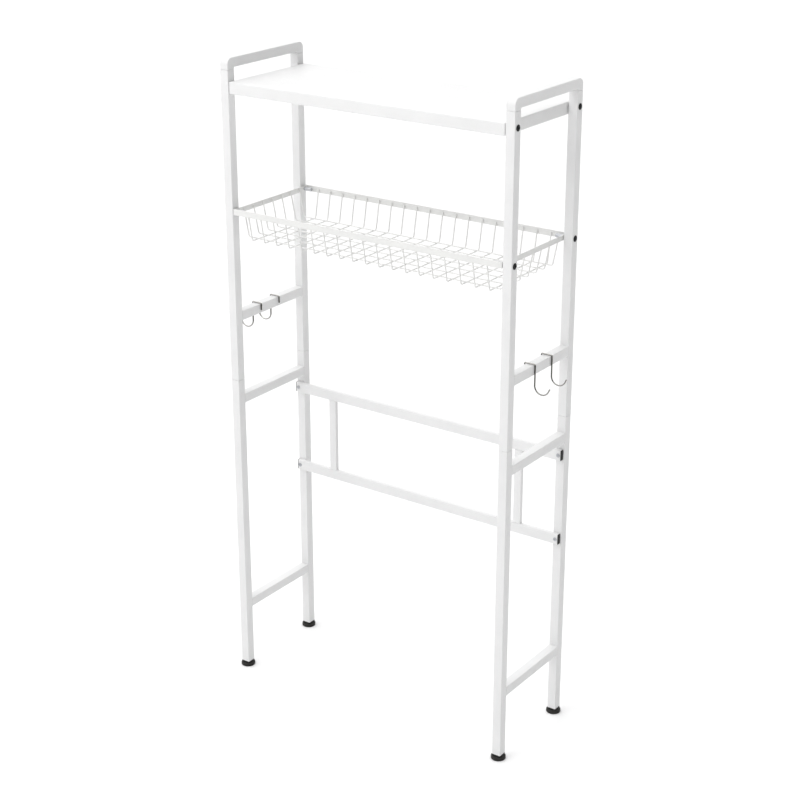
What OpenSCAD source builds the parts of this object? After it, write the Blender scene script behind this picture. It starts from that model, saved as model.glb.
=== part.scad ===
// Over the toilet storage rack: two ladder-like side frames of square steel tube carry
// a folded sheet shelf and a wire basket, and a brace ties the rear posts together.
// Origin on the floor at the middle of the footprint, front towards -Y, +Z up.

/* [Overall] */
// Width over the posts
rack_w = 760; // [700:1:820]
// Depth over the posts
rack_d = 268; // [250:1:300]
// Height to the top of the handles
rack_h = 1515; // [1500:1:1560]

/* [Tube] */
// Side of the square frame tube
tube = 22; // [20:0.5:24]
// Wall thickness of every tube
wall = 1.2; // [1:0.1:1.4]

/* [Levels] */
// Height of the post's lower end above the floor
foot_h = 12; // [11:0.5:14]
// Middle of the low side rails
low_rail_z = 171; // [120:1:250]
// Middle of the middle side rails
mid_rail_z = 712; // [700:1:720]
// Joint between the lower and the upper posts
seam_z = 762; // [750:1:800]
// Middle of the hook bars
hook_bar_z = 917; // [880:1:930]
// Top of the basket's rim
basket_top = 1177; // [1160:1:1200]
// Top of the shelf
shelf_top = 1464; // [1450:1:1466]

/* [Shelf] */
// Height of the shelf's folded edge
shelf_lip = 27; // [25:1:32]
// Gap between the shelf's end and each post
shelf_gap = 1.5; // [1:0.5:3]

/* [Basket] */
// Height of the front and rear rim bars
rim_h = 14; // [12:1:18]
// Depth of the basket below its rim's top
basket_deep = 72; // [60:1:90]
// How far the sides slope inwards
basket_slope = 13; // [8:1:20]
// Number of front-to-back wires
cross_count = 19; // [15:2:23]
// Number of end-to-end wires
long_count = 7; // [5:2:9]
// Radius of the basket wire
wire_r = 1.5; // [1.2:0.1:1.8]

/* [Rear brace] */
// Middle of the upper brace rail
brace_high_z = 670; // [650:1:676]
// Middle of the lower brace rail
brace_low_z = 462; // [400:1:500]
// Height of the brace rails
brace_h = 25; // [20:1:30]
// Thickness of the brace rails from front to back
brace_t = 10; // [9:1:12]
// Distance of each upright from the middle
upright_x = 265; // [200:1:300]

/* [Hooks] */
// Radius of the hook wire
hook_r = 1.6; // [1.4:0.1:2]
// Radius of the hook's lower bend
hook_bend = 18; // [14:0.5:20]
// Drop from the bar's top to the bottom of the bend
hook_drop = 67; // [60:1:75]

/* [Hidden] */

white_coat = "white";
bright_steel = "silver";
black_part = "black";

// Posts
post_x = (rack_w - tube) / 2;
post_y = (rack_d - tube) / 2;
inner_x = rack_w / 2 - tube;
inner_y = rack_d / 2 - tube;
bore_w = tube - 2 * wall;
spigot_w = bore_w - 0.4;
spigot_l = 26;
shoulder = 3;
shoulder_w = bore_w + 0.1;
shoulder_t = (shoulder_w - spigot_w) / 2 + wall;

// Handles
handle_seam_z = rack_h - tube - 4;
handle_corner = 15;
handle_inner = 2;

// Bolts that run through the posts along X
bolt_r = 3;
bolt_hole_r = 3.2;
bolt_head_r = 7;
bolt_head_t = 2;
bolt_head_taper = 1.2;
socket_r = 2.3;
shelf_bolt_drop = 9;
shelf_bolt_z = shelf_top - shelf_bolt_drop;
basket_bolt_z = basket_top - rim_h / 2;
shelf_bolt_l = 32;
basket_bolt_l = 42;

// Shelf panel
sheet = 1.2;
shelf_return = 12;
shelf_end_x = inner_x - shelf_gap;
nut_t = 5;
nut_r = 5.8;

// Basket
rim_t = 3;
end_rim_h = 12;
end_rim_drop = 1;
rim_gap = 2;
rim_x = inner_x - rim_gap;
sleeve_r = 4.5;
sleeve_l = 25;
weld_gap = 0.05;
side_wire_r = wire_r - 0.05;
wire_top_z = basket_top - 4;
cross_z = basket_top - basket_deep;
long_z = cross_z + 2 * wire_r + weld_gap;
cross_end_gap = 39;
long_end_gap = 32;
cross_pitch = 2 * (rim_x - cross_end_gap) / (cross_count - 1);
long_pitch = (rack_d - 2 * long_end_gap) / (long_count - 1);

// Rear brace
brace_inset = 3.5;
brace_end_x = rack_w / 2 - brace_inset;
plug_t = 1.5;
plug_l = 10;
plug_wall = 1;
upright_w = 20;
brace_back_y = inner_y;
brace_y = brace_back_y - brace_t / 2;
screw_r = 2.5;
screw_hole_r = 2.7;
screw_head_r = 4.8;
screw_head_t = 2.6;
screw_crown_r = 3.4;
cross_w = 1;
cross_l = 5.2;
cross_deep = 1.6;
screw_l = 20;
small_nut_r = 4.6;
small_nut_t = 4;

// Feet
insert_flange = 1.6;
insert_l = 22;
stud_r = 3.9;
stud_bore_r = 3.95;
stud_l = 32;
pad_r = 17;
pad_h = 9;
pad_core_h = 3;
pad_edge = 1;
pad_dome_w = 5;
pad_dome_h = 3;

// Hooks: where each one hangs along its bar
hook_left_y = [-46, 20];
hook_right_y = [-32, 38];
hook_gap = 0.5;
hook_leg = 17;
hook_corner = 2.6;
tip_rise = 1;
hook_top_z = hook_bar_z + tube / 2 + hook_gap + hook_r;
hook_half = tube / 2 + hook_gap + hook_r;

// A hollow square tube of side w standing on z0
module square_tube(w, t, z0, z1) {
    translate([0, 0, z0])
        linear_extrude(z1 - z0)
            difference() {
                square(w, center = true);
                square(w - 2 * t, center = true);
            }
}

// A hollow rectangular tube along X, w from front to back and h high
module flat_tube_x(len, w, h) {
    rotate([90, 0, 90])
        linear_extrude(len, center = true)
            difference() {
                square([w, h], center = true);
                square([w - 2 * wall, h - 2 * wall], center = true);
            }
}

// A round bar from point a to point b
module bar(a, b, r) {
    d = b - a;
    len = norm(d);
    translate(a)
        rotate([0, acos(d[2] / len), atan2(d[1], d[0])])
            cylinder(h = len, r = r, $fn = 24);
}

// A trough-shaped wire along X: a flat bottom run, and two sides that slope inwards down to it
module trough_wire(top_half, low_half, z_low) {
    bar([-low_half - wire_r, 0, z_low], [low_half + wire_r, 0, z_low], wire_r);
    for (s = [-1, 1])
        bar([s * low_half, 0, z_low], [s * top_half, 0, wire_top_z], side_wire_r);
}

// Moves the children to one bolt place, its axis running inwards along X from the outer face
module at_bolt(sx, sy, z) {
    translate([sx * rack_w / 2, sy * post_y, z])
        rotate([0, -sx * 90, 0])
            children();
}

// Repeats the children at the four posts' bolt places
module at_bolts(z) {
    for (sx = [-1, 1], sy = [-1, 1])
        at_bolt(sx, sy, z)
            children();
}

// Repeats the children at the four brace screws, the axis running back along +Y
module at_screws() {
    for (sx = [-1, 1], z = [brace_low_z, brace_high_z])
        translate([sx * post_x, brace_back_y - brace_t, z])
            rotate([-90, 0, 0])
                children();
}

// A black furniture bolt: flat round head outside, hex socket, plain shank inwards
module flat_bolt(l) {
    difference() {
        union() {
            translate([0, 0, -bolt_head_t])
                cylinder(h = bolt_head_t, r1 = bolt_head_r - bolt_head_taper, r2 = bolt_head_r, $fn = 48);
            cylinder(h = l, r = bolt_r, $fn = 32);
        }
        translate([0, 0, -bolt_head_t - 1])
            cylinder(h = bolt_head_t + 2, r = socket_r, $fn = 6);
    }
}

// Outline of the handle seen from the side, for a tube w wide with corner radii r_out and r_in.
// The round corners reach lower than the legs' ends, so they are cut off level with them.
module handle_outline(w, r_out, r_in) {
    half = post_y + w / 2;
    top = rack_h - (tube - w) / 2;
    bottom = handle_seam_z;
    difference() {
        union() {
            translate([-half, bottom])
                square([2 * half, top - r_out - bottom]);
            translate([-half + r_out, bottom])
                square([2 * (half - r_out), top - bottom]);
            for (s = [-1, 1])
                translate([s * (half - r_out), top - r_out])
                    circle(r_out, $fn = 64);
        }
        translate([-half, bottom - r_out])
            square([2 * half, r_out]);
        translate([-half + w + r_in, bottom - 1])
            square([2 * (half - w - r_in), top - w - bottom + 1]);
        translate([-half + w, bottom - 1])
            square([2 * (half - w), top - w - r_in - bottom + 1]);
        for (s = [-1, 1])
            translate([s * (half - w - r_in), top - w - r_in])
                circle(r_in, $fn = 32);
    }
}

// Left or right handle: a tube bent over both posts, with a spigot down into each
module handle(sx) {
    color(white_coat) {
        translate([sx * post_x, 0, 0])
            difference() {
                rotate([90, 0, 90])
                    linear_extrude(tube, center = true)
                        handle_outline(tube, handle_corner, handle_inner);
                rotate([90, 0, 90])
                    linear_extrude(bore_w, center = true)
                        handle_outline(bore_w, handle_corner - wall, handle_inner + wall);
            }
        for (sy = [-1, 1])
            translate([sx * post_x, sy * post_y, 0]) {
                square_tube(spigot_w, wall, handle_seam_z - spigot_l + 1, handle_seam_z + shoulder);
                square_tube(shoulder_w, shoulder_t, handle_seam_z, handle_seam_z + shoulder);
            }
    }
}

// Upper post, with holes for the shelf bolt and the basket bolt
module upper_post(sx, sy) {
    color(white_coat)
        difference() {
            translate([sx * post_x, sy * post_y, 0])
                square_tube(tube, wall, seam_z, handle_seam_z);
            for (z = [shelf_bolt_z, basket_bolt_z])
                at_bolt(sx, sy, z)
                    translate([0, 0, -1])
                        cylinder(h = tube + 2, r = bolt_hole_r, $fn = 32);
        }
}

// Lower post, reduced at its top to plug into the upper post
module lower_post(sx, sy) {
    color(white_coat)
        difference() {
            translate([sx * post_x, sy * post_y, 0]) {
                square_tube(tube, wall, foot_h, seam_z);
                square_tube(spigot_w, wall, seam_z - shoulder, seam_z + spigot_l);
                square_tube(shoulder_w, shoulder_t, seam_z - shoulder, seam_z);
            }
            if (sy > 0)
                for (z = [brace_low_z, brace_high_z])
                    translate([sx * post_x, inner_y - 1, z])
                        rotate([-90, 0, 0])
                            cylinder(h = wall + 2, r = screw_hole_r, $fn = 32);
        }
}

// A side rail between the front and the rear post
module side_rail(sx, z) {
    color(white_coat)
        translate([sx * post_x, inner_y, z])
            rotate([90, 0, 0])
                square_tube(tube, wall, 0, 2 * inner_y);
}

// Shelf: a folded steel pan, open below, with returned edges
module shelf_panel() {
    len = 2 * shelf_end_x;
    color(white_coat)
        difference() {
            translate([-len / 2, -rack_d / 2, shelf_top - shelf_lip])
                cube([len, rack_d, shelf_lip]);
            translate([-len / 2 + sheet, -rack_d / 2 + sheet, shelf_top - shelf_lip + sheet])
                cube([len - 2 * sheet, rack_d - 2 * sheet, shelf_lip - 2 * sheet]);
            translate([-len / 2 + shelf_return, -rack_d / 2 + shelf_return, shelf_top - shelf_lip - 1])
                cube([len - 2 * shelf_return, rack_d - 2 * shelf_return, shelf_lip / 2]);
            at_bolts(shelf_bolt_z)
                cylinder(h = shelf_bolt_l, r = bolt_hole_r, $fn = 32);
        }
}

// Nuts welded behind the shelf's end faces
module shelf_weld_nuts() {
    color(bright_steel)
        at_bolts(shelf_bolt_z)
            translate([0, 0, tube + shelf_gap + sheet])
                difference() {
                    cylinder(h = nut_t, r = nut_r, $fn = 6);
                    translate([0, 0, -1])
                        cylinder(h = nut_t + 2, r = bolt_r + 0.05, $fn = 32);
                }
}

// Bolts through the upper posts into the shelf
module shelf_bolts() {
    color(black_part)
        at_bolts(shelf_bolt_z)
            flat_bolt(shelf_bolt_l);
}

// Front or rear bar of the basket's rim
module basket_long_rail(sy) {
    y0 = sy > 0 ? rack_d / 2 - rim_t : -rack_d / 2;
    color(white_coat)
        translate([-rim_x, y0, basket_top - rim_h])
            cube([2 * rim_x, rim_t, rim_h]);
}

// End bar of the basket's rim, pierced by the threaded sleeves
module basket_end_rail(sx) {
    x0 = sx > 0 ? rim_x - rim_t : -rim_x;
    color(white_coat)
        difference() {
            translate([x0, -rack_d / 2 + rim_t, basket_top - end_rim_h - end_rim_drop])
                cube([rim_t, rack_d - 2 * rim_t, end_rim_h]);
            at_bolts(basket_bolt_z)
                cylinder(h = 2 * tube, r = sleeve_r + 0.05, $fn = 48);
        }
}

// Threaded sleeves welded through the end bars
module basket_sleeves() {
    color(bright_steel)
        at_bolts(basket_bolt_z)
            translate([0, 0, tube])
                difference() {
                    cylinder(h = sleeve_l, r = sleeve_r, $fn = 48);
                    translate([0, 0, -1])
                        cylinder(h = sleeve_l + 2, r = bolt_r + 0.05, $fn = 32);
                }
}

// Bolts through the upper posts into the basket's sleeves
module basket_bolts() {
    color(black_part)
        at_bolts(basket_bolt_z)
            flat_bolt(basket_bolt_l);
}

// Front-to-back wires, evenly spaced
module basket_cross_wires() {
    top_half = rack_d / 2 - rim_t - wire_r - weld_gap;
    color(white_coat)
        for (i = [0 : cross_count - 1])
            translate([(i - (cross_count - 1) / 2) * cross_pitch, 0, 0])
                rotate([0, 0, 90])
                    trough_wire(top_half, top_half - basket_slope, cross_z);
}

// End-to-end wires, lying on the front-to-back ones
module basket_long_wires() {
    top_half = rim_x - rim_t - wire_r - weld_gap;
    color(white_coat)
        for (i = [0 : long_count - 1])
            translate([0, (i - (long_count - 1) / 2) * long_pitch, 0])
                trough_wire(top_half, top_half - basket_slope, long_z);
}

// Brace rail across the front of the rear posts
module brace_rail(z) {
    color(white_coat)
        difference() {
            translate([0, brace_y, z])
                flat_tube_x(2 * (brace_end_x - plug_t), brace_t, brace_h);
            at_screws()
                translate([0, 0, -1])
                    cylinder(h = brace_t + 2, r = screw_hole_r, $fn = 32);
        }
}

// Upright between the two brace rails
module brace_upright(sx) {
    z0 = brace_low_z + brace_h / 2;
    z1 = brace_high_z - brace_h / 2;
    color(white_coat)
        translate([sx * upright_x, brace_y, z0])
            linear_extrude(z1 - z0)
                difference() {
                    square([upright_w, brace_t], center = true);
                    square([upright_w - 2 * wall, brace_t - 2 * wall], center = true);
                }
}

// Plastic plugs that close the brace rails' ends, hollow behind their flange
module brace_end_plugs() {
    body_w = brace_t - 2 * wall;
    body_h = brace_h - 2 * wall;
    color(black_part)
        for (sx = [-1, 1], z = [brace_low_z, brace_high_z])
            translate([sx * (brace_end_x - plug_t), brace_y, z])
                mirror([sx > 0 ? 0 : 1, 0, 0]) {
                    translate([0, -brace_t / 2, -brace_h / 2])
                        cube([plug_t, brace_t, brace_h]);
                    difference() {
                        translate([-plug_l, -body_w / 2, -body_h / 2])
                            cube([plug_l + plug_t / 2, body_w, body_h]);
                        translate([-plug_l - 1, plug_wall - body_w / 2, plug_wall - body_h / 2])
                            cube([plug_l + 1, body_w - 2 * plug_wall, body_h - 2 * plug_wall]);
                        translate([post_x - brace_end_x + plug_t, -brace_t, 0])
                            rotate([-90, 0, 0])
                                cylinder(h = 2 * brace_t, r = screw_hole_r, $fn = 32);
                    }
                }
}

// Pan-head screws through the brace rails into the rear posts
module brace_screws() {
    color(bright_steel)
        at_screws()
            difference() {
                union() {
                    translate([0, 0, -screw_head_t])
                        cylinder(h = screw_head_t, r1 = screw_crown_r, r2 = screw_head_r, $fn = 48);
                    cylinder(h = screw_l, r = screw_r, $fn = 32);
                }
                for (a = [0, 90])
                    rotate([0, 0, a])
                        translate([-cross_l / 2, -cross_w / 2, -screw_head_t - 1])
                            cube([cross_l, cross_w, cross_deep + 1]);
            }
}

// Nuts welded inside the rear posts for the brace screws
module brace_weld_nuts() {
    color(bright_steel)
        at_screws()
            translate([0, 0, brace_t + wall])
                difference() {
                    cylinder(h = small_nut_t, r = small_nut_r, $fn = 6);
                    translate([0, 0, -1])
                        cylinder(h = small_nut_t + 2, r = screw_r + 0.05, $fn = 32);
                }
}

// Threaded plug driven into a post's lower end
module foot_insert(sx, sy) {
    color(black_part)
        translate([sx * post_x, sy * post_y, foot_h])
            difference() {
                union() {
                    translate([-bore_w / 2, -bore_w / 2, 0])
                        cube([bore_w, bore_w, insert_l]);
                    translate([-tube / 2, -tube / 2, -insert_flange])
                        cube([tube, tube, insert_flange]);
                }
                translate([0, 0, -insert_flange - 1])
                    cylinder(h = insert_l + insert_flange + 2, r = stud_bore_r, $fn = 48);
            }
}

// Threaded stud of a levelling foot
module foot_stud(sx, sy) {
    color(bright_steel)
        translate([sx * post_x, sy * post_y, pad_core_h])
            cylinder(h = stud_l, r = stud_r, $fn = 48);
}

// Round pad of a levelling foot, moulded around the stud
module foot_pad(sx, sy) {
    color(black_part)
        translate([sx * post_x, sy * post_y, 0])
            difference() {
                rotate_extrude($fn = 72)
                    polygon([[0, 0], [pad_r - pad_edge, 0], [pad_r, pad_edge], [pad_r, pad_h - pad_dome_h],
                        [pad_r - pad_dome_w / 3, pad_h - pad_dome_h / 3], [pad_r - pad_dome_w, pad_h],
                        [0, pad_h]]);
                translate([0, 0, pad_core_h])
                    cylinder(h = pad_h, r = stud_r, $fn = 48);
            }
}

// Wire hook over a bar, its lower bend opening outwards along +X
module hook_shape() {
    arc_z = hook_r - hook_drop + hook_bend;
    corner_x = hook_half - hook_corner;
    // top run and the two small corners
    bar([-corner_x, 0, 0], [corner_x, 0, 0], hook_r);
    for (s = [0, 1])
        mirror([s, 0, 0])
            translate([corner_x, 0, -hook_corner])
                rotate([90, 0, 0])
                    rotate_extrude(angle = 90, $fn = 48)
                        translate([hook_corner, 0])
                            circle(hook_r, $fn = 24);
    // legs
    bar([-hook_half, 0, -hook_leg], [-hook_half, 0, -hook_corner], hook_r);
    bar([hook_half, 0, arc_z], [hook_half, 0, -hook_corner], hook_r);
    // lower bend and its tip
    translate([hook_half + hook_bend, 0, arc_z])
        rotate([-90, 0, 0])
            rotate_extrude(angle = 180, $fn = 64)
                translate([hook_bend, 0])
                    circle(hook_r, $fn = 24);
    bar([hook_half + 2 * hook_bend, 0, arc_z], [hook_half + 2 * hook_bend, 0, arc_z + tip_rise], hook_r);
    translate([hook_half + 2 * hook_bend, 0, arc_z + tip_rise])
        sphere(hook_r, $fn = 24);
}

// One of the four hooks, hung over its bar at y
module hook(sx, y) {
    color(bright_steel)
        translate([sx * post_x, y, hook_top_z])
            mirror([sx < 0 ? 1 : 0, 0, 0])
                hook_shape();
}

handle(-1);  // handle_left
handle(1);  // handle_right
upper_post(-1, -1);  // upper_post_front_left
upper_post(1, -1);  // upper_post_front_right
upper_post(-1, 1);  // upper_post_rear_left
upper_post(1, 1);  // upper_post_rear_right
lower_post(-1, -1);  // lower_post_front_left
lower_post(1, -1);  // lower_post_front_right
lower_post(-1, 1);  // lower_post_rear_left
lower_post(1, 1);  // lower_post_rear_right
side_rail(-1, hook_bar_z);  // hook_bar_left
side_rail(1, hook_bar_z);  // hook_bar_right
side_rail(-1, mid_rail_z);  // mid_rail_left
side_rail(1, mid_rail_z);  // mid_rail_right
side_rail(-1, low_rail_z);  // low_rail_left
side_rail(1, low_rail_z);  // low_rail_right
shelf_panel();
shelf_weld_nuts();
shelf_bolts();
basket_long_rail(-1);  // basket_front_rail
basket_long_rail(1);  // basket_rear_rail
basket_end_rail(-1);  // basket_end_rail_left
basket_end_rail(1);  // basket_end_rail_right
basket_sleeves();
basket_cross_wires();
basket_long_wires();
basket_bolts();
brace_rail(brace_high_z);  // brace_rail_upper
brace_rail(brace_low_z);  // brace_rail_lower
brace_upright(-1);  // brace_upright_left
brace_upright(1);  // brace_upright_right
brace_end_plugs();
brace_screws();
brace_weld_nuts();
foot_insert(-1, -1);  // foot_insert_front_left
foot_insert(1, -1);  // foot_insert_front_right
foot_insert(-1, 1);  // foot_insert_rear_left
foot_insert(1, 1);  // foot_insert_rear_right
foot_stud(-1, -1);  // foot_stud_front_left
foot_stud(1, -1);  // foot_stud_front_right
foot_stud(-1, 1);  // foot_stud_rear_left
foot_stud(1, 1);  // foot_stud_rear_right
foot_pad(-1, -1);  // foot_pad_front_left
foot_pad(1, -1);  // foot_pad_front_right
foot_pad(-1, 1);  // foot_pad_rear_left
foot_pad(1, 1);  // foot_pad_rear_right
hook(-1, hook_left_y[0]);  // hook_left_front
hook(-1, hook_left_y[1]);  // hook_left_rear
hook(1, hook_right_y[0]);  // hook_right_front
hook(1, hook_right_y[1]);  // hook_right_rear
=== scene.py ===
"""Over the toilet storage rack: the visual model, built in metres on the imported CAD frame."""
import math

import bmesh
import bpy
from mathutils import Matrix, Vector


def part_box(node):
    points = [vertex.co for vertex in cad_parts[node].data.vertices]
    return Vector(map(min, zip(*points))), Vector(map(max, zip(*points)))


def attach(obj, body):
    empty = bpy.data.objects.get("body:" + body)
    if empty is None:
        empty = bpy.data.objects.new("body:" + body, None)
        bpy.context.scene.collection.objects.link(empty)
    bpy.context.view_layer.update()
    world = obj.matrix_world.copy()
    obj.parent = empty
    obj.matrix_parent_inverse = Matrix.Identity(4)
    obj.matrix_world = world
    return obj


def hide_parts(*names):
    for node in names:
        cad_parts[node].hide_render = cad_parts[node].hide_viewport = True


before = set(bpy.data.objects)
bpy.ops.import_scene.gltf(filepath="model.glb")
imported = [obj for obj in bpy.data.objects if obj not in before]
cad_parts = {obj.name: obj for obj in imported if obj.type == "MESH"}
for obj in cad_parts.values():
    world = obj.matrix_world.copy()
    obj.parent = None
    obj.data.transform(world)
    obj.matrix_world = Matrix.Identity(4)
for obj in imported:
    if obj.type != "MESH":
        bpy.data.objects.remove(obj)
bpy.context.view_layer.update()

# Sizes the boxes of the CAD nodes don't give, in metres. Side frames:
WALL = 0.0012
TUBE_CORNER = 0.0015
CUT_EDGE = 0.0004
SEAM_EDGE = 0.0006
SEAM_GAP = 0.0002
HANDLE_OUTER = 0.015
HANDLE_INNER = 0.002
SPIGOT_PLAY = 0.0004
SPIGOT_OVERLAP = 0.002
WELD_BEAD = 0.0011
WELD_RIPPLE = 0.0015

# Shelf and basket
SHEET = 0.0012
SHELF_FOLD = 0.0022
SHELF_RETURN = 0.012
SHELF_CORNER = 0.003
RIM_CORNER = 0.0009
RIM_BEAD = 0.0009
BASKET_WIRE = 0.0015
BASKET_BEND = 0.006
BASKET_SLOPE = 0.013
CROSS_COUNT = 19
LONG_COUNT = 7
WIRE_TOP_DROP = 0.004
SPOT_DROP = 0.0045
SPOT_OUT = 0.0008
SLEEVE_LENGTH = 0.025
SLEEVE_BORE = 0.0031

# Fasteners and feet
SHELF_BOLT = 0.032
BASKET_BOLT = 0.042
BOLT_SHANK = 0.003
BOLT_HEAD = 0.007
BOLT_SOCKET = 0.0023
SCREW_LENGTH = 0.02
SCREW_SHANK = 0.0025
SCREW_HEAD = 0.0048
SCREW_RIM = 0.0006
SHANK_CHAMFER = 0.0006
RECESS_WIDTH = 0.0013
RECESS_REACH = 0.0027
RECESS_DEPTH = 0.0014
THREAD_PITCH = 0.00125
THREAD_DEPTH = 0.0006

# Brace and its end plugs
BRACE_CORNER = 0.0018
PLUG_RIBS = 3
PLUG_RIB = 0.002
PLUG_RIB_STEP = 0.003

# Hooks: wire radius, inner leg, bends over the bar, the lower bend's turn in degrees, and the tip
HOOK_WIRE = 0.0016
HOOK_LEG = 0.017
HOOK_CORNER = 0.0026
HOOK_TURN = 155
HOOK_TIP = 0.0075

# Noise scales of every finish, and the angle in degrees from which an edge is shaded sharp
TONE_SCALE = 14
ROUGHNESS_SCALE = 90
SHARP_ANGLE = 38

X, Y, Z = Vector((1, 0, 0)), Vector((0, 1, 0)), Vector((0, 0, 1))
CORNERS = ("front_left", "front_right", "rear_left", "rear_right")


# ---------------------------------------------------------------- materials

def node(tree, kind, **inputs):
    """A shader node with some of its input values set."""
    made = tree.nodes.new("ShaderNode" + kind)
    for name, value in inputs.items():
        made.inputs[name.replace("_", " ")].default_value = value
    return made


def grain(tree, place, scale, detail=3.0, stretch=(1, 1, 1)):
    """Noise over the object's own coordinates, as a grey value."""
    mapping = node(tree, "Mapping", Scale=stretch)
    texture = node(tree, "TexNoise", Scale=scale, Detail=detail)
    tree.links.new(place.outputs["Object"], mapping.inputs["Vector"])
    tree.links.new(mapping.outputs["Vector"], texture.inputs["Vector"])
    return texture.outputs["Fac"]


def drifting_tone(tree, place, light, dark, stretch):
    """A colour that drifts between dark and light over the surface."""
    tone = node(tree, "ValToRGB")
    tone.color_ramp.elements[0].position = 0.35
    tone.color_ramp.elements[0].color = (*dark, 1)
    tone.color_ramp.elements[1].position = 0.65
    tone.color_ramp.elements[1].color = (*light, 1)
    tree.links.new(grain(tree, place, TONE_SCALE, 4, stretch), tone.inputs["Fac"])
    return tone.outputs["Color"]


def uneven_roughness(tree, place, low, high, stretch):
    """A roughness that varies between low and high."""
    remap = node(tree, "MapRange", From_Min=0.3, From_Max=0.7, To_Min=low, To_Max=high)
    noise = grain(tree, place, ROUGHNESS_SCALE, 3, stretch)
    tree.links.new(noise, remap.inputs["Value"])
    return remap.outputs["Result"]


def bumped_normal(tree, place, bumps, stretch):
    """The surface's direction after every layer of bump, or None without any layer."""
    normal = None
    for scale, strength, distance in bumps:
        bump = node(tree, "Bump", Strength=strength, Distance=distance)
        tree.links.new(grain(tree, place, scale, 2, stretch), bump.inputs["Height"])
        if normal:
            tree.links.new(normal, bump.inputs["Normal"])
        normal = bump.outputs["Normal"]
    return normal


def finish(name, light, dark, rough, metallic=0.0, specular=0.5, bumps=(), stretch=(1, 1, 1)):
    """A surface whose tone drifts between two colours, with varying roughness and layers of bump.
    bumps holds (scale, strength, distance) for each layer, coarse first."""
    material = bpy.data.materials.new(name)
    material.use_nodes = True
    tree = material.node_tree
    shader = tree.nodes["Principled BSDF"]
    shader.inputs["Metallic"].default_value = metallic
    shader.inputs["Specular IOR Level"].default_value = specular
    place = node(tree, "TexCoord")
    tone = drifting_tone(tree, place, light, dark, stretch)
    tree.links.new(tone, shader.inputs["Base Color"])
    uneven = uneven_roughness(tree, place, *rough, stretch)
    tree.links.new(uneven, shader.inputs["Roughness"])
    normal = bumped_normal(tree, place, bumps, stretch)
    if normal:
        tree.links.new(normal, shader.inputs["Normal"])
    return material


def powder_coat(name, light, dark):
    """White satin powder coat: a low orange peel with a fine grain over it."""
    return finish(name, light, dark, (0.36, 0.5), bumps=((420, 0.22, 0.0002), (2600, 0.1, 0.00005)))


def moulded_plastic(name, tone):
    """Black plastic with a fine moulded grain."""
    light = tuple(1.6 * c for c in tone)
    return finish(name, light, tone, (0.45, 0.62), specular=0.25,
                  bumps=((900, 0.2, 0.0002), (4000, 0.15, 0.00005)))


def zinc_plate(name):
    """Dull zinc plating with a crystalline mottle."""
    return finish(name, (0.62, 0.63, 0.65), (0.42, 0.43, 0.46), (0.28, 0.45), metallic=1.0,
                  bumps=((1500, 0.1, 0.0001),))


def black_oxide(name):
    """Black coated bolt steel."""
    return finish(name, (0.012, 0.012, 0.013), (0.005, 0.005, 0.006), (0.4, 0.55), specular=0.22,
                  bumps=((1200, 0.15, 0.0001),))


def painted_reflection_mix(tree, flat_colour, side):
    """Paints a dark reflection: turns the flat colour into the side colour where the surface is
    upright.
    """
    geometry = node(tree, "NewGeometry")
    direction = node(tree, "SeparateXYZ")
    level = node(tree, "Math")
    level.operation = "ABSOLUTE"
    spread = node(tree, "MapRange", From_Min=0.0, From_Max=0.45)
    mix = node(tree, "MixRGB", Color1=(*side, 1))
    tree.links.new(geometry.outputs["Normal"], direction.inputs["Vector"])
    tree.links.new(direction.outputs["Z"], level.inputs[0])
    tree.links.new(level.outputs["Value"], spread.inputs["Value"])
    tree.links.new(spread.outputs["Result"], mix.inputs["Fac"])
    tree.links.new(flat_colour, mix.inputs["Color2"])
    return mix.outputs["Color"]


def drawn_wire(name, light, dark, side):
    """Bright plated wire with faint drawing marks. Its side colour is a painted dark reflection on
    upright surfaces, standing in for the dark room that plating would show beyond the bright floor
    and ceiling."""
    material = finish(name, light, dark, (0.16, 0.3), metallic=1.0,
                      bumps=((600, 0.08, 0.0001),), stretch=(1, 1, 0.2))
    tree = material.node_tree
    colour = tree.nodes["Principled BSDF"].inputs["Base Color"]
    plating = colour.links[0].from_socket
    # Paints the dark reflection over the plating's colour where the surface is upright.
    tree.links.new(painted_reflection_mix(tree, plating, side), colour)
    return material


FINISHES = {
    "frame_coat": powder_coat("frame_coat", (0.795, 0.795, 0.795), (0.77, 0.77, 0.772)),
    "shelf_coat": powder_coat("shelf_coat", (0.795, 0.795, 0.795), (0.77, 0.77, 0.77)),
    "basket_coat": powder_coat("basket_coat", (0.785, 0.785, 0.77), (0.755, 0.755, 0.745)),
    # The hooks' third colour is a painted dark reflection on their upright surfaces.
    "hook_steel": drawn_wire("hook_steel", (0.56, 0.55, 0.53), (0.42, 0.41, 0.39),
                             (0.07, 0.068, 0.062)),
    "zinc_steel": zinc_plate("zinc_steel"),
    "black_bolt": black_oxide("black_bolt"),
    "black_plastic": moulded_plastic("black_plastic", (0.012, 0.012, 0.012)),
    "foot_plastic": moulded_plastic("foot_plastic", (0.016, 0.015, 0.014)),
}


# ---------------------------------------------------------------- points and outlines

def spaced(first, last, count):
    """Evenly spaced numbers from first to last."""
    return [first + (last - first) * i / (count - 1) for i in range(count)]


def full_turn(count):
    """Evenly spaced angles round a circle, in radians."""
    return [2 * math.pi * i / count for i in range(count)]


def polar(r, angle, height):
    """The point at that radius, angle and height."""
    return Vector((r * math.cos(angle), r * math.sin(angle), height))


def circle(r, sides):
    """A circle's points, anticlockwise about the origin."""
    return [(r * math.cos(a), r * math.sin(a)) for a in full_turn(sides)]


def hexagon(r, angle):
    """How far out a hexagon of inner radius r is at that angle."""
    return r / math.cos((angle + math.pi / 6) % (math.pi / 3) - math.pi / 6)


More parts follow.
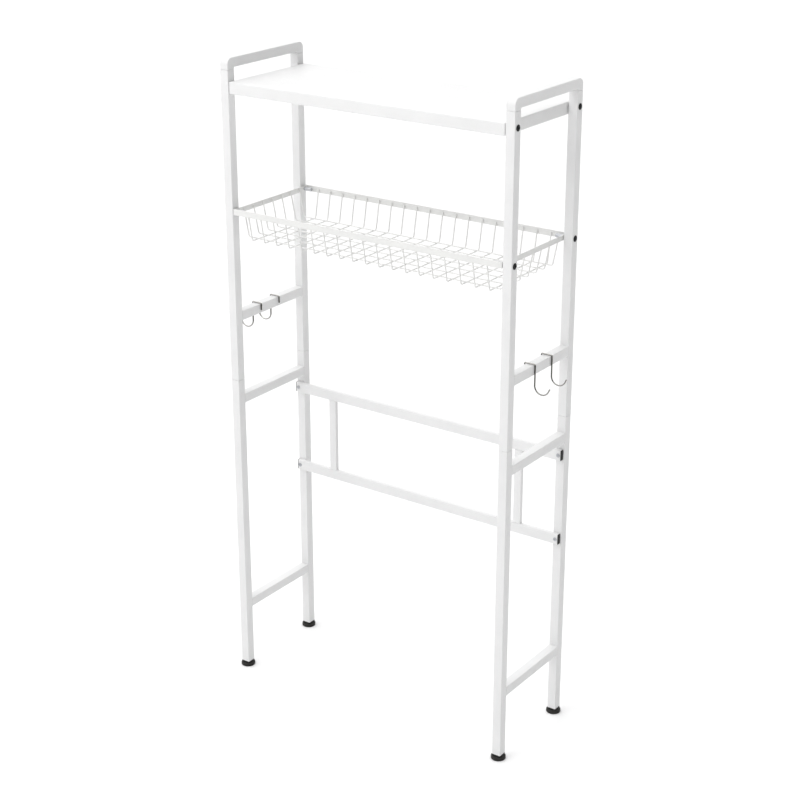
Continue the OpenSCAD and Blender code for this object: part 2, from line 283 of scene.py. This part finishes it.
def rounded_rect(w, h, r, steps=4):
    """A w by h rectangle with corner radius r, anticlockwise about the origin."""
    points = []
    for i, (sx, sy) in enumerate(((1, 1), (-1, 1), (-1, -1), (1, -1))):
        for k in range(steps + 1):
            a = math.pi / 2 * (i + k / steps)
            x = sx * (w / 2 - r) + r * math.cos(a)
            y = sy * (h / 2 - r) + r * math.sin(a)
            points.append((x, y))
    return points


def rounded_path(corners, radius, steps=7):
    """The line through the corners, with each inner corner turned into an arc."""
    path = [corners[0]]
    for before, corner, after in zip(corners, corners[1:], corners[2:]):
        a = (before - corner).normalized()
        b = (after - corner).normalized()
        half = a.angle(b) / 2
        reach = radius / math.tan(half)
        centre = corner + (a + b).normalized() * radius / math.sin(half)
        start = corner + a * reach - centre
        axis = start.cross(corner + b * reach - centre).normalized()
        for turn in spaced(0, math.pi - 2 * half, steps + 1):
            path.append(centre + Matrix.Rotation(turn, 3, axis) @ start)
    return path + [corners[-1]]


# ---------------------------------------------------------------- mesh helpers

def piece(name, bm, slot, body, *nodes):
    """Turns the mesh into a piece with its finish, riding on a body in place of the CAD nodes."""
    mesh = bpy.data.meshes.new(name)
    bm.to_mesh(mesh)
    bm.free()
    for face in mesh.polygons:
        face.use_smooth = True
    mesh.set_sharp_from_angle(angle=math.radians(SHARP_ANGLE))
    mesh.materials.append(FINISHES[slot])
    obj = bpy.data.objects.new(name, mesh)
    bpy.context.scene.collection.objects.link(obj)
    weighted = obj.modifiers.new("weighted", "WEIGHTED_NORMAL")
    weighted.keep_sharp = True
    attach(obj, body)
    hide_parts(*nodes)
    return obj


def skin(bm, rings):
    """Faces between each ring and the next."""
    count = len(rings[0])
    for a, b in zip(rings, rings[1:]):
        for i in range(count):
            j = (i + 1) % count
            bm.faces.new((a[i], a[j], b[j], b[i]))


def closed_skin(bm, rings):
    """Faces between each ring and the next, and over both end rings."""
    skin(bm, rings)
    bm.faces.new(list(reversed(rings[0])))
    bm.faces.new(rings[-1])


def rings_along(bm, path, side, outline, chamfer=0.0):
    """A ring of vertices at each path point. side is square to the whole path, and a chamfer
    draws the end rings in."""
    behind = path[:1] + path[:-1]
    ahead = path[1:] + path[-1:]
    tangents = [(b - a).normalized() for a, b in zip(behind, ahead)]
    stations = [(p, t, 0.0) for p, t in zip(path, tangents)]
    if chamfer:
        (first, t0, _), (end, t1, _) = stations[0], stations[-1]
        stations[0] = (first + t0 * chamfer, t0, 0.0)
        stations[-1] = (end - t1 * chamfer, t1, 0.0)
        stations = [(first, t0, chamfer)] + stations + [(end, t1, chamfer)]
    half_w = max(x for x, _ in outline)
    half_h = max(y for _, y in outline)
    rings = []
    for centre, tangent, inset in stations:
        up = tangent.cross(side)
        kx, ky = 1 - inset / half_w, 1 - inset / half_h
        rings.append([bm.verts.new(centre + side * (x * kx) + up * (y * ky)) for x, y in outline])
    return rings


def solid_bar(bm, path, side, outline, chamfer):
    """A solid bar along the path, with chamfered ends."""
    closed_skin(bm, rings_along(bm, path, side, outline, chamfer))


def hollow_bar(bm, path, side, w, h, corner=TUBE_CORNER, edge=CUT_EDGE):
    """A rectangular tube along the path: w across the side direction and h square to it."""
    outer = rings_along(bm, path, side, rounded_rect(w, h, corner), edge)
    bore = rounded_rect(w - 2 * WALL, h - 2 * WALL, max(corner - WALL, CUT_EDGE))
    inner = rings_along(bm, path, side, bore)
    skin(bm, outer)
    skin(bm, list(reversed(inner)))
    skin(bm, [inner[0], outer[0]])
    skin(bm, [outer[-1], inner[-1]])


def wire(bm, path, side, r, sides=12):
    """A round wire along the path, with slightly rounded ends."""
    solid_bar(bm, path, side, circle(r, sides), 0.3 * r)


def lathe(bm, place, profile, sides=40):
    """Turns the profile round the local Z of the place matrix. Each entry is (radius, height), or
    (inner radius, height, True) for a hexagonal ring. The first and last rings are closed."""
    rings = []
    for r, h, *is_hex in profile:
        points = [polar(hexagon(r, a) if is_hex else r, a, h) for a in full_turn(sides)]
        rings.append([bm.verts.new(place @ point) for point in points])
    closed_skin(bm, rings)


def threaded_rod(bm, base, length, r, sides=24, per_turn=6):
    """A rod with a helical thread: each ring's radius follows the thread's phase at its height."""
    rings = []
    for k in range(round(length / THREAD_PITCH * per_turn) + 1):
        z = min(k * THREAD_PITCH / per_turn, length)
        ring = []
        for i, a in enumerate(full_turn(sides)):
            phase = (z / THREAD_PITCH - i / sides) % 1
            reach = r - THREAD_DEPTH * abs(2 * phase - 1)
            ring.append(bm.verts.new(base + polar(reach, a, z)))
        rings.append(ring)
    closed_skin(bm, rings)


def weld(bm, a, b, side, r=WELD_BEAD):
    """A short weld bead from a to b, rippled along its length."""
    steps = max(6, round((b - a).length / WELD_RIPPLE))
    path = [a.lerp(b, i / steps) for i in range(steps + 1)]
    rings = rings_along(bm, path, side, circle(r, 10))
    for i, ring in enumerate(rings):
        swell = 1.0 if i % 2 else 0.86
        if i in (0, steps):
            swell = 0.5
        for v in ring:
            v.co = path[i] + (v.co - path[i]) * swell
    closed_skin(bm, rings)


def nugget(bm, centre, size):
    """A small rounded spot weld, with its half sizes."""
    place = Matrix.Translation(centre) @ Matrix.Diagonal((*size, 1))
    bmesh.ops.create_icosphere(bm, subdivisions=2, radius=1, matrix=place)


def facing_x(x, y, z, way):
    """The place matrix of a part whose axis points along X, to the right (1) or the left (-1)."""
    return Matrix.Translation((x, y, z)) @ Matrix.Rotation(way * math.pi / 2, 4, "Y")


# ---------------------------------------------------------------- side frames

def post(name, z0, z1):
    """A post between two heights, where its CAD node stands, with a fine gap at each seam."""
    lo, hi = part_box(name)
    x, y = (lo.x + hi.x) / 2, (lo.y + hi.y) / 2
    ends = [Vector((x, y, z0 + SEAM_GAP)), Vector((x, y, z1 - SEAM_GAP))]
    bm = bmesh.new()
    hollow_bar(bm, ends, X, hi.x - lo.x, hi.y - lo.y, edge=SEAM_EDGE)
    piece(name, bm, "frame_coat", "rack", name)


def corner_posts(where):
    """A corner's two posts. The lower one ends at the seam; its spigot inside the upper one is not
    drawn.
    """
    upper_lo, upper_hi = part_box("upper_post_" + where)
    post("upper_post_" + where, upper_lo.z, upper_hi.z)
    post("lower_post_" + where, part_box("lower_post_" + where)[0].z, upper_lo.z)


def handle_sections(hi, tube, seam):
    """Where the tube's section lies from a leg's end to the top: (inner, outer, width), with the
    inner and outer points as (distance from the middle, height)."""
    end = seam + SEAM_GAP
    sections = [
        ((hi.y - tube + SEAM_EDGE, end), (hi.y - SEAM_EDGE, end), tube - 2 * SEAM_EDGE),
        ((hi.y - tube, end + SEAM_EDGE), (hi.y, end + SEAM_EDGE), tube)]
    for a in spaced(0, math.pi / 2, 13):
        back, down = 1 - math.cos(a), 1 - math.sin(a)
        inner = (hi.y - tube - HANDLE_INNER * back, hi.z - tube - HANDLE_INNER * down)
        outer = (hi.y - HANDLE_OUTER * back, hi.z - HANDLE_OUTER * down)
        sections.append((inner, outer, tube))
    return sections


def bent_section(bm, inner, outer, width):
    """A ring of vertices across the handle, from its inner point to its outer one."""
    up = outer - inner
    height = up.length
    up.normalize()
    middle = (inner + outer) / 2
    outline = rounded_rect(width, height, TUBE_CORNER)
    return [bm.verts.new(middle + X * x + up * y) for x, y in outline]


def handle(side):
    """The tube bent over both posts, round outside and tight inside, with its spigots."""
    name = "handle_" + side
    lo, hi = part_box(name)
    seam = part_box("upper_post_front_" + side)[1].z
    x = (lo.x + hi.x) / 2
    tube = hi.x - lo.x
    bm = bmesh.new()
    legs = []
    for s in (-1, 1):
        leg = []
        for inner, outer, width in handle_sections(hi, tube, seam):
            inner_point = Vector((x, s * inner[0], inner[1]))
            outer_point = Vector((x, s * outer[0], outer[1]))
            leg.append(bent_section(bm, inner_point, outer_point, width))
        legs.append(leg)
    closed_skin(bm, legs[0] + list(reversed(legs[1])))
    spigot = tube - 2 * WALL - SPIGOT_PLAY
    for s in (-1, 1):
        y = s * (hi.y - tube / 2)
        ends = [Vector((x, y, lo.z)), Vector((x, y, seam + SPIGOT_OVERLAP))]
        hollow_bar(bm, ends, X, spigot, spigot)
    piece(name, bm, "frame_coat", "rack", name)


def side_rail(name):
    """A rail between the front and rear post, with a weld bead above and below each end."""
    lo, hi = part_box(name)
    x, z = (lo.x + hi.x) / 2, (lo.z + hi.z) / 2
    tube = hi.x - lo.x
    bm = bmesh.new()
    hollow_bar(bm, [Vector((x, lo.y, z)), Vector((x, hi.y, z))], X, tube, tube)
    reach = tube / 2 - TUBE_CORNER
    for y in (lo.y, hi.y):
        for edge in (lo.z, hi.z):
            weld(bm, Vector((x - reach, y, edge)), Vector((x + reach, y, edge)), Y)
    piece(name, bm, "frame_coat", "rack", name)


# ---------------------------------------------------------------- shelf

def fold(z, r, start, steps=4):
    """A quarter turn of the shelf's fold, centred at that height, as (inset, height) pairs."""
    turn = [math.radians(start + 90 * k / steps) for k in range(steps + 1)]
    return [(SHELF_FOLD - r * math.cos(a), z + r * math.sin(a)) for a in turn]


def shelf_profile(z_low, z_high):
    """The pan's cross section as (inset, height), from the outside of the top round to its
    underside, and far enough in at both ends to be flat there."""
    outer, inner = SHELF_FOLD, SHELF_FOLD - SHEET
    top, bottom = z_high - outer, z_low + outer
    flat = 0.02
    return [(flat, z_high),
            *reversed(fold(top, outer, 0)),
            *reversed(fold(bottom, outer, -90)),
            (SHELF_RETURN, z_low),
            (SHELF_RETURN, z_low + SHEET),
            *fold(bottom, inner, -90),
            *fold(top, inner, 0),
            (flat, z_high - SHEET)]


def shelf():
    """A folded sheet pan: rounded folds, lips all round, and a return along the bottom edge."""
    lo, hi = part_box("shelf_panel")
    w, d = hi.x - lo.x, hi.y - lo.y
    centre = (lo + hi) / 2
    tightest = 0.0006
    bm = bmesh.new()
    rings = []
    for inset, z in shelf_profile(lo.z, hi.z):
        corner = max(SHELF_CORNER - inset, tightest)
        outline = rounded_rect(w - 2 * inset, d - 2 * inset, corner)
        rings.append([bm.verts.new((centre.x + x, centre.y + y, z)) for x, y in outline])
    rings.reverse()
    closed_skin(bm, rings)
    piece("shelf_panel", bm, "shelf_coat", "rack", "shelf_panel")


# ---------------------------------------------------------------- basket

def basket_rim():
    """Four flat bars with eased edges, and beads where they meet."""
    for name in ("basket_front_rail", "basket_rear_rail"):
        lo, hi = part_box(name)
        y, z = (lo.y + hi.y) / 2, (lo.z + hi.z) / 2
        ends = [Vector((lo.x, y, z)), Vector((hi.x, y, z))]
        bm = bmesh.new()
        solid_bar(bm, ends, Y, rounded_rect(hi.y - lo.y, hi.z - lo.z, RIM_CORNER), CUT_EDGE)
        piece(name, bm, "basket_coat", "rack", name)
    for name in ("basket_end_rail_left", "basket_end_rail_right"):
        lo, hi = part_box(name)
        x, z = (lo.x + hi.x) / 2, (lo.z + hi.z) / 2
        ends = [Vector((x, lo.y, z)), Vector((x, hi.y, z))]
        bm = bmesh.new()
        solid_bar(bm, ends, X, rounded_rect(hi.x - lo.x, hi.z - lo.z, RIM_CORNER), CUT_EDGE)
        inside = lo.x if x > 0 else hi.x
        for y in (lo.y, hi.y):
            bead = [Vector((inside, y, lo.z + 0.001)), Vector((inside, y, hi.z - 0.001))]
            weld(bm, *bead, Y, RIM_BEAD)
        piece(name, bm, "basket_coat", "rack", name)


def basket_wire(bm, half, z_top, z_low, along, side, place):
    """One basket wire: down, across the bottom and up again, spot welded to the rim at both ends.
    It runs along one direction, at its place in the side direction."""
    low_half = half - BASKET_SLOPE
    reach = [(-half, z_top), (-low_half, z_low), (low_half, z_low), (half, z_top)]
    corners = [along * u + side * place + Z * z for u, z in reach]
    wire(bm, rounded_path(corners, BASKET_BEND, 6), side, BASKET_WIRE)
    spot_size = along * 0.001 + side * 0.0016 + Z * 0.0022
    for s in (-1, 1):
        spot = along * (s * (half + SPOT_OUT)) + side * place + Z * (z_top - SPOT_DROP)
        nugget(bm, spot, spot_size)


def basket_wires():
    """Front-to-back wires, and end-to-end wires that lie on them, spot welded where they cross."""
    z_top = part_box("basket_front_rail")[1].z - WIRE_TOP_DROP

    lo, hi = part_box("basket_cross_wires")
    xs = spaced(lo.x + BASKET_WIRE, hi.x - BASKET_WIRE, CROSS_COUNT)
    cross_z = lo.z + BASKET_WIRE
    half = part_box("basket_rear_rail")[0].y - BASKET_WIRE
    bm = bmesh.new()
    for x in xs:
        basket_wire(bm, half, z_top, cross_z, Y, X, x)
    piece("basket_cross_wires", bm, "basket_coat", "rack", "basket_cross_wires")

    lo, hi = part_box("basket_long_wires")
    ys = spaced(lo.y + BASKET_WIRE, hi.y - BASKET_WIRE, LONG_COUNT)
    long_z = lo.z + BASKET_WIRE
    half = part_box("basket_end_rail_right")[0].x - BASKET_WIRE
    bm = bmesh.new()
    for y in ys:
        basket_wire(bm, half, z_top, long_z, X, Y, y)
        for x in xs:
            nugget(bm, Vector((x, y, (cross_z + long_z) / 2)), (0.0017, 0.0017, 0.001))
    piece("basket_long_wires", bm, "basket_coat", "rack", "basket_long_wires")


def basket_sleeves():
    """Threaded sleeves through the end bars, which take the basket's bolts."""
    lo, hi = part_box("basket_sleeves")
    z = (lo.z + hi.z) / 2
    r = (hi.z - lo.z) / 2
    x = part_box("upper_post_front_right")[0].x
    profile = [(SLEEVE_BORE, 0), (r - 0.0005, 0), (r, 0.0005), (r, SLEEVE_LENGTH - 0.0006),
               (r - 0.0006, SLEEVE_LENGTH), (SLEEVE_BORE, SLEEVE_LENGTH),
               (SLEEVE_BORE, SLEEVE_LENGTH - 0.001)]
    bm = bmesh.new()
    for s in (-1, 1):
        for t in (-1, 1):
            lathe(bm, facing_x(s * x, t * (hi.y - r), z, -s), profile)
    piece("basket_sleeves", bm, "zinc_steel", "rack", "basket_sleeves")


# ---------------------------------------------------------------- fasteners

def bolt_profile(shank_length, head):
    """A low domed head of that height on a plain shank, with a hexagonal socket."""
    return [(BOLT_SHANK - SHANK_CHAMFER, -shank_length), (BOLT_SHANK, SHANK_CHAMFER - shank_length),
            (BOLT_SHANK, 0), (BOLT_HEAD - 0.0002, 0), (BOLT_HEAD, 0.0003), (BOLT_HEAD, 0.0007),
            (BOLT_HEAD - 0.0004, 0.5 * head), (BOLT_HEAD - 0.0014, 0.82 * head),
            (BOLT_HEAD - 0.0028, 0.97 * head), (BOLT_HEAD - 0.0036, head),
            (BOLT_SOCKET + 0.0002, head, True), (BOLT_SOCKET, head - 0.0002, True),
            (BOLT_SOCKET, head - 0.0019, True)]


def furniture_bolts(name, shank_length):
    """Four flat-headed black bolts through the posts along X."""
    lo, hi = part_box(name)
    z = (lo.z + hi.z) / 2
    post_lo, post_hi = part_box("upper_post_rear_right")
    y = (post_lo.y + post_hi.y) / 2
    profile = bolt_profile(shank_length, hi.x - post_hi.x)
    bm = bmesh.new()
    for s in (-1, 1):
        for t in (-1, 1):
            lathe(bm, facing_x(s * post_hi.x, t * y, z, s), profile, 48)
    piece(name, bm, "black_bolt", "rack", name)


def cross_depth(x, y):
    """How deep the cross recess of a pan head is at that place. Its walls slope a little."""
    short, long = sorted((abs(x), abs(y)))
    wall = min(max((RECESS_WIDTH / 2 - short) / 0.0003, 0), 1)
    reach = min(max((RECESS_REACH - long) / 0.0006, 0), 1)
    return RECESS_DEPTH * wall * reach


def screw_profile(head):
    """A plain shank, a domed pan head of that height, and fine rings over its flat top."""
    dome = [(SCREW_HEAD * math.cos(a), SCREW_RIM + (head - SCREW_RIM) * math.sin(a) ** 0.8)
            for a in spaced(0.15, 1.1, 6)]
    top = [(r, head) for r in spaced(0.002, 0.0002, 13)]
    return [(SCREW_SHANK - 0.0005, -SCREW_LENGTH), (SCREW_SHANK, SHANK_CHAMFER - SCREW_LENGTH),
            (SCREW_SHANK, 0), (SCREW_HEAD, 0), (SCREW_HEAD, SCREW_RIM)] + dome + top


def pan_head_screw(bm, place, head):
    """A screw with a slight crown and a cross recess in its top. Heights start under the head."""
    top = 0.9 * head
    rings = []
    for r, h in screw_profile(head):
        ring = []
        for a in full_turn(48):
            point = polar(r, a, head - 0.02 * r if h > top else h)
            if h > 0:
                point.z -= cross_depth(point.x, point.y)
            ring.append(bm.verts.new(place @ point))
        rings.append(ring)
    closed_skin(bm, rings)


def brace_screws():
    """Four zinc screws through the brace rails along Y."""
    lo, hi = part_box("brace_screws")
    x = hi.x - SCREW_HEAD
    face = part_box("brace_rail_upper")[0].y
    bm = bmesh.new()
    for s in (-1, 1):
        for z in (lo.z + SCREW_HEAD, hi.z - SCREW_HEAD):
            place = Matrix.Translation((s * x, face, z)) @ Matrix.Rotation(math.pi / 2, 4, "X")
            pan_head_screw(bm, place, face - lo.y)
    piece("brace_screws", bm, "zinc_steel", "rack", "brace_screws")


# ---------------------------------------------------------------- rear brace

def brace_rail(name):
    """A flat tube across the rear posts."""
    lo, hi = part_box(name)
    y, z = (lo.y + hi.y) / 2, (lo.z + hi.z) / 2
    ends = [Vector((lo.x, y, z)), Vector((hi.x, y, z))]
    bm = bmesh.new()
    hollow_bar(bm, ends, Y, hi.y - lo.y, hi.z - lo.z, BRACE_CORNER)
    piece(name, bm, "frame_coat", "rack", name)


def brace_upright(name):
    """A flat tube between the brace rails, with a weld bead beside each end."""
    lo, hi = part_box(name)
    x, y = (lo.x + hi.x) / 2, (lo.y + hi.y) / 2
    ends = [Vector((x, y, lo.z)), Vector((x, y, hi.z))]
    bm = bmesh.new()
    hollow_bar(bm, ends, X, hi.x - lo.x, hi.y - lo.y, BRACE_CORNER)
    front, rear = lo.y + BRACE_CORNER, hi.y - BRACE_CORNER
    for z in (lo.z, hi.z):
        for edge in (lo.x, hi.x):
            weld(bm, Vector((edge, front, z)), Vector((edge, rear, z)), X)
    piece(name, bm, "frame_coat", "rack", name)


def end_plugs():
    """Black caps in the brace rails' ends: a soft-edged flange, and a ribbed stem in the tube."""
    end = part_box("brace_end_plugs")[1].x
    bm = bmesh.new()
    for rail in ("brace_rail_upper", "brace_rail_lower"):
        lo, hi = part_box(rail)
        y, z = (lo.y + hi.y) / 2, (lo.z + hi.z) / 2
        w, h = hi.y - lo.y, hi.z - lo.z
        cap = rounded_rect(w, h, BRACE_CORNER)
        bore = rounded_rect(w - 2 * WALL, h - 2 * WALL, 0.0008)
        for s in (-1, 1):
            face = s * hi.x
            solid_bar(bm, [Vector((face, y, z)), Vector((s * end, y, z))], Y, cap, 0.0005)
            for step in range(PLUG_RIBS):
                start = face - s * (0.0005 + PLUG_RIB_STEP * step)
                rib = [Vector((start - s * PLUG_RIB, y, z)), Vector((start, y, z))]
                solid_bar(bm, rib, Y, bore, 0.0003)
    piece("brace_end_plugs", bm, "black_plastic", "rack", "brace_end_plugs")


# ---------------------------------------------------------------- feet

def post_axis(where):
    """The x and y of a corner's post and foot."""
    lo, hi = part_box("foot_insert_" + where)
    return (lo.x + hi.x) / 2, (lo.y + hi.y) / 2


def foot_insert(where):
    """The insert in the post's end: a flange as wide as the tube, and a stem inside it."""
    name = "foot_insert_" + where
    lo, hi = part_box(name)
    x, y = post_axis(where)
    tube = hi.x - lo.x
    bore = tube - 2 * WALL
    post_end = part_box("lower_post_" + where)[0].z
    flange = [Vector((x, y, lo.z)), Vector((x, y, post_end))]
    stem = [Vector((x, y, post_end - 0.0002)), Vector((x, y, hi.z))]
    bm = bmesh.new()
    solid_bar(bm, flange, X, rounded_rect(tube, tube, TUBE_CORNER), CUT_EDGE)
    solid_bar(bm, stem, X, rounded_rect(bore, bore, 0.001), 0.0006)
    piece(name, bm, "black_plastic", "rack", name)


def foot_stud(where):
    """The threaded stud that the foot turns on."""
    name = "foot_stud_" + where
    lo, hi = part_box(name)
    bm = bmesh.new()
    threaded_rod(bm, Vector((*post_axis(where), lo.z)), hi.z - lo.z, (hi.x - lo.x) / 2)
    piece(name, bm, "zinc_steel", "foot_" + where, name)


def foot_pad(where):
    """The round pad moulded on the stud, with soft edges and a groove round the stud."""
    name = "foot_pad_" + where
    lo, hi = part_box(name)
    r, h = (hi.x - lo.x) / 2, hi.z - lo.z
    profile = [
        (r - 0.0045, 0.0006), (r - 0.0038, 0), (r - 0.0012, 0), (r - 0.0003, 0.0004), (r, 0.0013),
        (r, h - 0.0034), (r - 0.0003, h - 0.0023), (r - 0.0012, h - 0.0014),
        (r - 0.0028, h - 0.0006), (r - 0.005, h - 0.0001), (0.0075, h - 0.0001),
        (0.0068, h - 0.0004), (0.0062, h - 0.0001), (0.0055, h)]
    bm = bmesh.new()
    lathe(bm, Matrix.Translation((*post_axis(where), lo.z)), profile, 72)
    piece(name, bm, "foot_plastic", "foot_" + where, name)


# ---------------------------------------------------------------- hooks

def hook(name):
    """A wire hook over its bar: a short inner leg, a long outer leg, and a round bend that opens
    outwards."""
    lo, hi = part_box(name)
    y = (lo.y + hi.y) / 2
    out = 1 if lo.x > 0 else -1
    inner = (lo.x if out > 0 else hi.x) + out * HOOK_WIRE
    tip = (hi.x if out > 0 else lo.x) - out * HOOK_WIRE
    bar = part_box("hook_bar_" + ("right" if out > 0 else "left"))
    outer = bar[0].x + bar[1].x - inner
    top, bottom = hi.z - HOOK_WIRE, lo.z + HOOK_WIRE
    upper = [Vector((inner, y, top - HOOK_LEG)), Vector((inner, y, top)),
             Vector((outer, y, top)), Vector((outer, y, bottom))]
    bend = abs(tip - outer) / 2
    centre = Vector((outer + out * bend, y, bottom + bend))
    turns = spaced(0, math.radians(HOOK_TURN), 25)
    lower = [centre + Vector((-out * math.cos(a), 0, -math.sin(a))) * bend for a in turns]
    lean = Vector((out * math.sin(turns[-1]), 0, -math.cos(turns[-1])))
    lower.append(lower[-1] + lean * HOOK_TIP)
    bm = bmesh.new()
    wire(bm, rounded_path(upper, HOOK_CORNER)[:-1] + lower, Y, HOOK_WIRE, 16)
    piece(name, bm, "hook_steel", name, name)


# ---------------------------------------------------------------- the rack

for where in CORNERS:
    corner_posts(where)
    foot_insert(where)
    foot_stud(where)
    foot_pad(where)

for side in ("left", "right"):
    handle(side)
    for level in ("hook_bar_", "mid_rail_", "low_rail_"):
        side_rail(level + side)
    for front in ("front", "rear"):
        hook("hook_" + side + "_" + front)

shelf()
furniture_bolts("shelf_bolts", SHELF_BOLT)
basket_rim()
basket_wires()
basket_sleeves()
furniture_bolts("basket_bolts", BASKET_BOLT)
for name in ("brace_rail_upper", "brace_rail_lower"):
    brace_rail(name)
for name in ("brace_upright_left", "brace_upright_right"):
    brace_upright(name)
end_plugs()
brace_screws()

for hidden in ("shelf_weld_nuts", "brace_weld_nuts"):
    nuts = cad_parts[hidden]
    nuts.data.materials.clear()
    nuts.data.materials.append(FINISHES["zinc_steel"])


# ---------------------------------------------------------------- floor, light and camera

def floor():
    """A pale floor, wide enough to fill every view."""
    bm = bmesh.new()
    bmesh.ops.create_grid(bm, x_segments=2, y_segments=2, size=60)
    mesh = bpy.data.meshes.new("floor")
    bm.to_mesh(mesh)
    bm.free()
    obj = bpy.data.objects.new("floor", mesh)
    bpy.context.scene.collection.objects.link(obj)
    pale = finish("floor", (0.95, 0.95, 0.95), (0.94, 0.94, 0.94), (0.85, 0.9), specular=0.1)
    mesh.materials.append(pale)


def room_light():
    """A bright room: its light grows from the low right to the high left."""
    world = bpy.data.worlds.new("studio")
    world.use_nodes = True
    tree = world.node_tree
    background = tree.nodes["Background"]
    background.inputs["Color"].default_value = (1, 1, 1, 1)
    place = node(tree, "TexCoord")
    facing = node(tree, "VectorMath")
    facing.operation = "DOT_PRODUCT"
    facing.inputs[1].default_value = Vector((-0.42, 0.04, 0.907)).normalized()
    strength = node(tree, "MapRange", From_Min=-0.23, From_Max=1.0, To_Min=0.0, To_Max=1.68)
    tree.links.new(place.outputs["Generated"], facing.inputs[0])
    tree.links.new(facing.outputs["Value"], strength.inputs["Value"])
    tree.links.new(strength.outputs["Result"], background.inputs["Strength"])
    bpy.context.scene.world = world


def key_lamp():
    """A soft lamp, high at the front left."""
    light = bpy.data.lights.new("key", "AREA")
    light.energy = 17
    light.size = 1.6
    lamp = bpy.data.objects.new("key", light)
    lamp.location = (-0.6, -1.8, 2.9)
    aim = Vector((0, 0, 1.2)) - lamp.location
    lamp.rotation_euler = aim.to_track_quat("-Z", "Y").to_euler()
    bpy.context.scene.collection.objects.link(lamp)


def camera():
    """A long lens from the front right, looking down a little."""
    data = bpy.data.cameras.new("camera")
    data.sensor_width = 36
    data.lens = 79.05
    data.clip_end = 200
    cam = bpy.data.objects.new("camera", data)
    cam.location = (2.1592, -3.0544, 2.226)
    cam.rotation_euler = (math.radians(90 - 21.50), 0, math.radians(35.15))
    bpy.context.scene.collection.objects.link(cam)
    bpy.context.scene.camera = cam


floor()
room_light()
key_lamp()
camera()
bpy.context.scene.view_settings.view_transform = "Standard"
